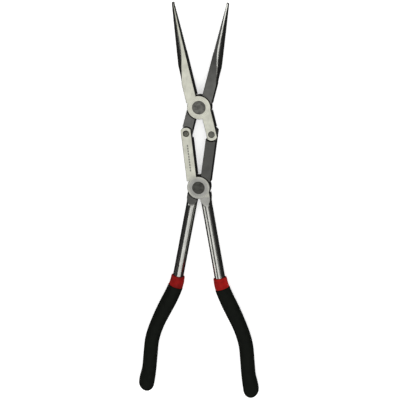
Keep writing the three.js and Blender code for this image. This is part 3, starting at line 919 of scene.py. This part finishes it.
def rivet_steel(name, centre, tone):
    material, tree, surface = new_material(name)
    coordinates = object_coordinates(tree)
    rings, _ = turning_marks(tree, coordinates, centre, RIVET_RING)
    patches = noise(tree, coordinates, RIVET_STAINS, 4.0)
    ringed = ramp(tree, rings, 0.3, 0.7, 0.8, 1.15)
    stained = ramp(tree, patches, 0.32, 0.68, 0.6, 1.4)
    # The tone is this rivet's painted light or shade on the same steel
    tinted = scaled(tree, tone[:3], calculate(tree, "MULTIPLY", ringed, stained))
    roughness = ramp(tree, patches, 0.3, 0.7, *RIVET_ROUGHNESS)
    bump = bumped(tree, rings, strength=0.25, distance=0.00006)
    finish_surface(tree, surface, tinted, roughness, bump)
    surface.inputs["Metallic"].default_value = 1.0
    return material


def red_vinyl(name, depth):
    material, tree, surface = new_material(name)
    coordinates = object_coordinates(tree)
    clouds = noise(tree, coordinates, VINYL_CLOUDS, 4.0)
    skin = noise(tree, coordinates, VINYL_SKIN, 2.0)
    # depth is painted shade: one vinyl, darker where it stands less in the light
    light = (mix(*LIGHT_RED, depth), 0.004, 0.003, 1)
    dark = (mix(*DARK_RED, depth), 0.003, 0.002, 1)
    colour = blend_colours(tree, ramp(tree, clouds, 0.35, 0.65), dark, light)
    roughness = ramp(tree, clouds, 0.3, 0.7, *VINYL_ROUGHNESS)
    bump = bumped(tree, skin, strength=0.15, distance=0.00005)
    finish_surface(tree, surface, colour, roughness, bump)
    surface.inputs["Specular IOR Level"].default_value = 0.08
    return material


def black_rubber(name):
    material, tree, surface = new_material(name)
    coordinates = object_coordinates(tree)
    grain = add(tree, "TexVoronoi", {"Vector": coordinates, "Scale": RUBBER_GRAIN}).outputs["Distance"]
    dust = noise(tree, coordinates, RUBBER_DUST, 5.0)
    colour = blend_colours(tree, ramp(tree, dust, 0.35, 0.7), RUBBER_BLACK, RUBBER_DUSTY)
    roughness = ramp(tree, dust, 0.3, 0.7, *RUBBER_ROUGHNESS)
    bump = bumped(tree, grain, strength=0.35, distance=0.00008)
    finish_surface(tree, surface, colour, roughness, bump)
    surface.inputs["Specular IOR Level"].default_value = 0.12
    return material


# ---- Placing the pieces ----

METRES = Matrix.Scale(MM, 4)
SIDES = {"front": Matrix.Identity(4), "back": Matrix.Rotation(math.pi, 4, "Y")}
DISC_SIDES = {"front": 1, "back": -1}  # which way, along Z, each lever's disc faces


def place(piece, side, pivot, opening):
    """Turns a lever's piece from closed to rest about its pivot and puts it in the model's frame."""
    turn = SIDES[side] @ Matrix.Rotation(opening, 4, "Z")
    piece.data.transform(METRES @ Matrix.Translation(pivot) @ turn)
    return piece


def hand_in(piece, node, material):
    materials = piece.data.materials
    materials.clear()
    materials.append(material)
    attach(piece, BODY_OF[node])
    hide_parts(node)


def build_jaw(side):
    node = side + "_jaw"
    link_gap = SEAT_GAP if side == "front" else OPEN_LINK_GAP
    body = clean(jaw(node + "_forging", link_gap), flats_to=-2 * JAW_ARM)
    piece = place(body, side, UPPER_PIVOT, JAW_OPENING)
    disc_side = DISC_SIDES[side]
    hand_in(piece, node, jaw_steel(node + "_steel", -disc_side * JAW_OPENING, disc_side))


def build_handle_lever(side):
    node = side + "_handle_lever"
    forging = handle_lever(node + "_forging", marked=(side == "front"))
    body = clean(forging, flats_to=-CHEEK_END - CHEEK_FLAT_RUN)
    piece = place(body, side, LOWER_PIVOT, HANDLE_OPENING)
    disc_side = DISC_SIDES[side]
    hand_in(piece, node, handle_steel(node + "_steel", -disc_side * HANDLE_OPENING, disc_side))


def build_handle_trim(hand, side):
    sleeve = place(clean(collar(hand + "_collar_sleeve")), side, LOWER_PIVOT, HANDLE_OPENING)
    hand_in(sleeve, hand + "_collar", red_vinyl(hand + "_collar_vinyl", VINYL_SHADE[hand]))
    cover = place(clean(grip(hand + "_grip_cover")), side, LOWER_PIVOT, HANDLE_OPENING)
    hand_in(cover, hand + "_grip", black_rubber(hand + "_grip_rubber"))


def build_rivet(node, head, centre, faces, tone):
    piece = clean(rivet(node + "_turned", head, *faces))
    piece.data.transform(METRES @ Matrix.Translation(centre))
    hand_in(piece, node, rivet_steel(node + "_steel", centre, tone))


# The back levers are the same steel as the front ones; their darker flats are painted shade
LEVER_STEELS = {"front": "ground_steel", "back": "dark_steel"}
# Node, head radius, centre, faces in front and behind, tone. Each tone is set to how brightly that rivet
# shows: painted light and shade on one steel
RIVETS = [
    ("upper_pivot_rivet", UPPER_RIVET, UPPER_PIVOT, (TURNED_FACE, TURNED_FACE), grey(0.14, 0.10)),
    ("lower_pivot_rivet", LOWER_RIVET, LOWER_PIVOT, (TURNED_FACE, TURNED_FACE), grey(0.072, 0.10)),
    ("left_link_rivet", LINK_RIVET, LEFT_LINK, (PEENED_FACE, PLAIN_FACE), grey(0.22, 0.16)),
    ("right_link_rivet", LINK_RIVET, RIGHT_LINK, (PLAIN_FACE, PEENED_FACE), grey(0.15, 0.14)),
]

for side, slot in LEVER_STEELS.items():
    build_jaw(side)
for side, slot in LEVER_STEELS.items():
    build_handle_lever(side)
build_handle_trim("right", "front")
build_handle_trim("left", "back")
for rivet_row in RIVETS:
    build_rivet(*rivet_row)


# ---- Camera ----

CAMERA_TILT = math.radians(13.6)  # towards the tips, from straight above
CAMERA_SWING = math.radians(9.3)  # to the right
CAMERA_ROLL = math.radians(0.29)
CAMERA_DISTANCE = 1.226
CAMERA_TARGET = Vector((0.00058, 0.00557, 0.0073))
CAMERA_LENS = 112.5
CAMERA_SENSOR = 36
CAMERA_RANGE = 20


def build_camera():
    to_camera = Vector((
        math.sin(CAMERA_SWING) * math.cos(CAMERA_TILT),
        math.sin(CAMERA_TILT),
        math.cos(CAMERA_SWING) * math.cos(CAMERA_TILT),
    ))
    right = Vector((math.cos(CAMERA_SWING), 0, -math.sin(CAMERA_SWING)))
    up = to_camera.cross(right)
    axes = Matrix((right, up, to_camera)).transposed().to_4x4()
    camera = bpy.data.objects.new("camera", bpy.data.cameras.new("camera"))
    camera.data.lens = CAMERA_LENS
    camera.data.sensor_width = CAMERA_SENSOR
    camera.data.clip_end = CAMERA_RANGE
    roll = Matrix.Rotation(CAMERA_ROLL, 4, "Z")
    camera.matrix_world = Matrix.Translation(CAMERA_TARGET + to_camera * CAMERA_DISTANCE) @ axes @ roll
    bpy.context.scene.collection.objects.link(camera)
    bpy.context.scene.camera = camera


# ---- Studio ----

FLOOR_REACH = 4  # metres each way
FLOOR_GAP = 0.0002  # under the tool
FLOOR_GLOW = 0.45
PAPER = ((0.93, 0.93, 0.92, 1), (0.96, 0.96, 0.95, 1))
WORLD_STRENGTH = 0.55  # as the eye and matt surfaces have it
WORLD_IN_STEEL = 0.022  # as glossy surfaces mirror it
# Name, direction from the tool, the light's upright, distance and size in metres, radiance
SOFTBOXES = [
    ("overhead", (0.05, -0.15, 0.98), (0, 1, 0), 1.6, (1.5, 1.8), 1.1),
    ("right_low", (0.64, -0.44, 0.62), (0, 0, 1), 1.6, (0.7, 0.7), 0.95),
    ("right_high", (0.6, 0.2, 0.78), (0, 1, 0), 1.6, (0.8, 0.6), 1.9),
    ("left_high", (-0.5, 0.12, 0.86), (0, 1, 0), 1.6, (0.6, 0.5), 1.0),
    ("front_panel", (0, -0.9, 0.42), (0, 0, 1), 1.8, (3.6, 1.1), 0.55),
    ("back_panel", (0, 0.9, 0.42), (0, 0, 1), 1.8, (3.6, 1.1), 0.55),
    ("left_strip", (-0.86, -0.44, 0.28), (0, 0, 1), 1.5, (0.3, 0.85), 1.5),
]


def build_floor():
    shape = bmesh.new()
    bmesh.ops.create_grid(shape, x_segments=2, y_segments=2, size=FLOOR_REACH)
    floor = new_piece("studio_floor", shape)
    floor.location.z = CAD_BOX[0][2] - FLOOR_GAP
    floor.visible_glossy = False
    material, tree, surface = new_material("studio_floor_paper")
    fibres = noise(tree, object_coordinates(tree), PAPER_FIBRES, 3.0)
    tree.links.new(blend_colours(tree, fibres, *PAPER), surface.inputs["Base Color"])
    surface.inputs["Roughness"].default_value = 0.9
    surface.inputs["Specular IOR Level"].default_value = 0.0
    surface.inputs["Emission Color"].default_value = (1, 1, 1, 1)
    surface.inputs["Emission Strength"].default_value = FLOOR_GLOW
    floor.data.materials.append(material)


def build_softbox(name, direction, upright, distance, size, radiance):
    """A rectangular light of a given brightness, facing the tool from a direction."""
    light = bpy.data.lights.new(name, "AREA")
    light.shape = "RECTANGLE"
    light.size, light.size_y = size
    light.energy = radiance * size[0] * size[1] * math.pi
    away = Vector(direction).normalized()
    right = Vector(upright).cross(away).normalized()
    axes = Matrix((right, away.cross(right), away)).transposed().to_4x4()
    lamp = bpy.data.objects.new(name, light)
    lamp.matrix_world = Matrix.Translation(away * distance) @ axes
    lamp.visible_camera = False
    bpy.context.scene.collection.objects.link(lamp)


def build_world():
    """Pale all round for the eye and for matt surfaces, but dark where polished steel mirrors it."""
    world = bpy.data.worlds.new("studio")
    bpy.context.scene.world = world
    world.use_nodes = True
    tree = world.node_tree
    background = tree.nodes["Background"]
    path = add(tree, "LightPath")
    strength = ramp(tree, path.outputs["Is Glossy Ray"], 0.0, 1.0, WORLD_STRENGTH, WORLD_IN_STEEL)
    background.inputs["Color"].default_value = (1, 1, 1, 1)
    tree.links.new(strength, background.inputs["Strength"])


build_camera()
build_floor()
build_world()
for light_row in SOFTBOXES:
    build_softbox(*light_row)
bpy.context.scene.view_settings.view_transform = "Standard"
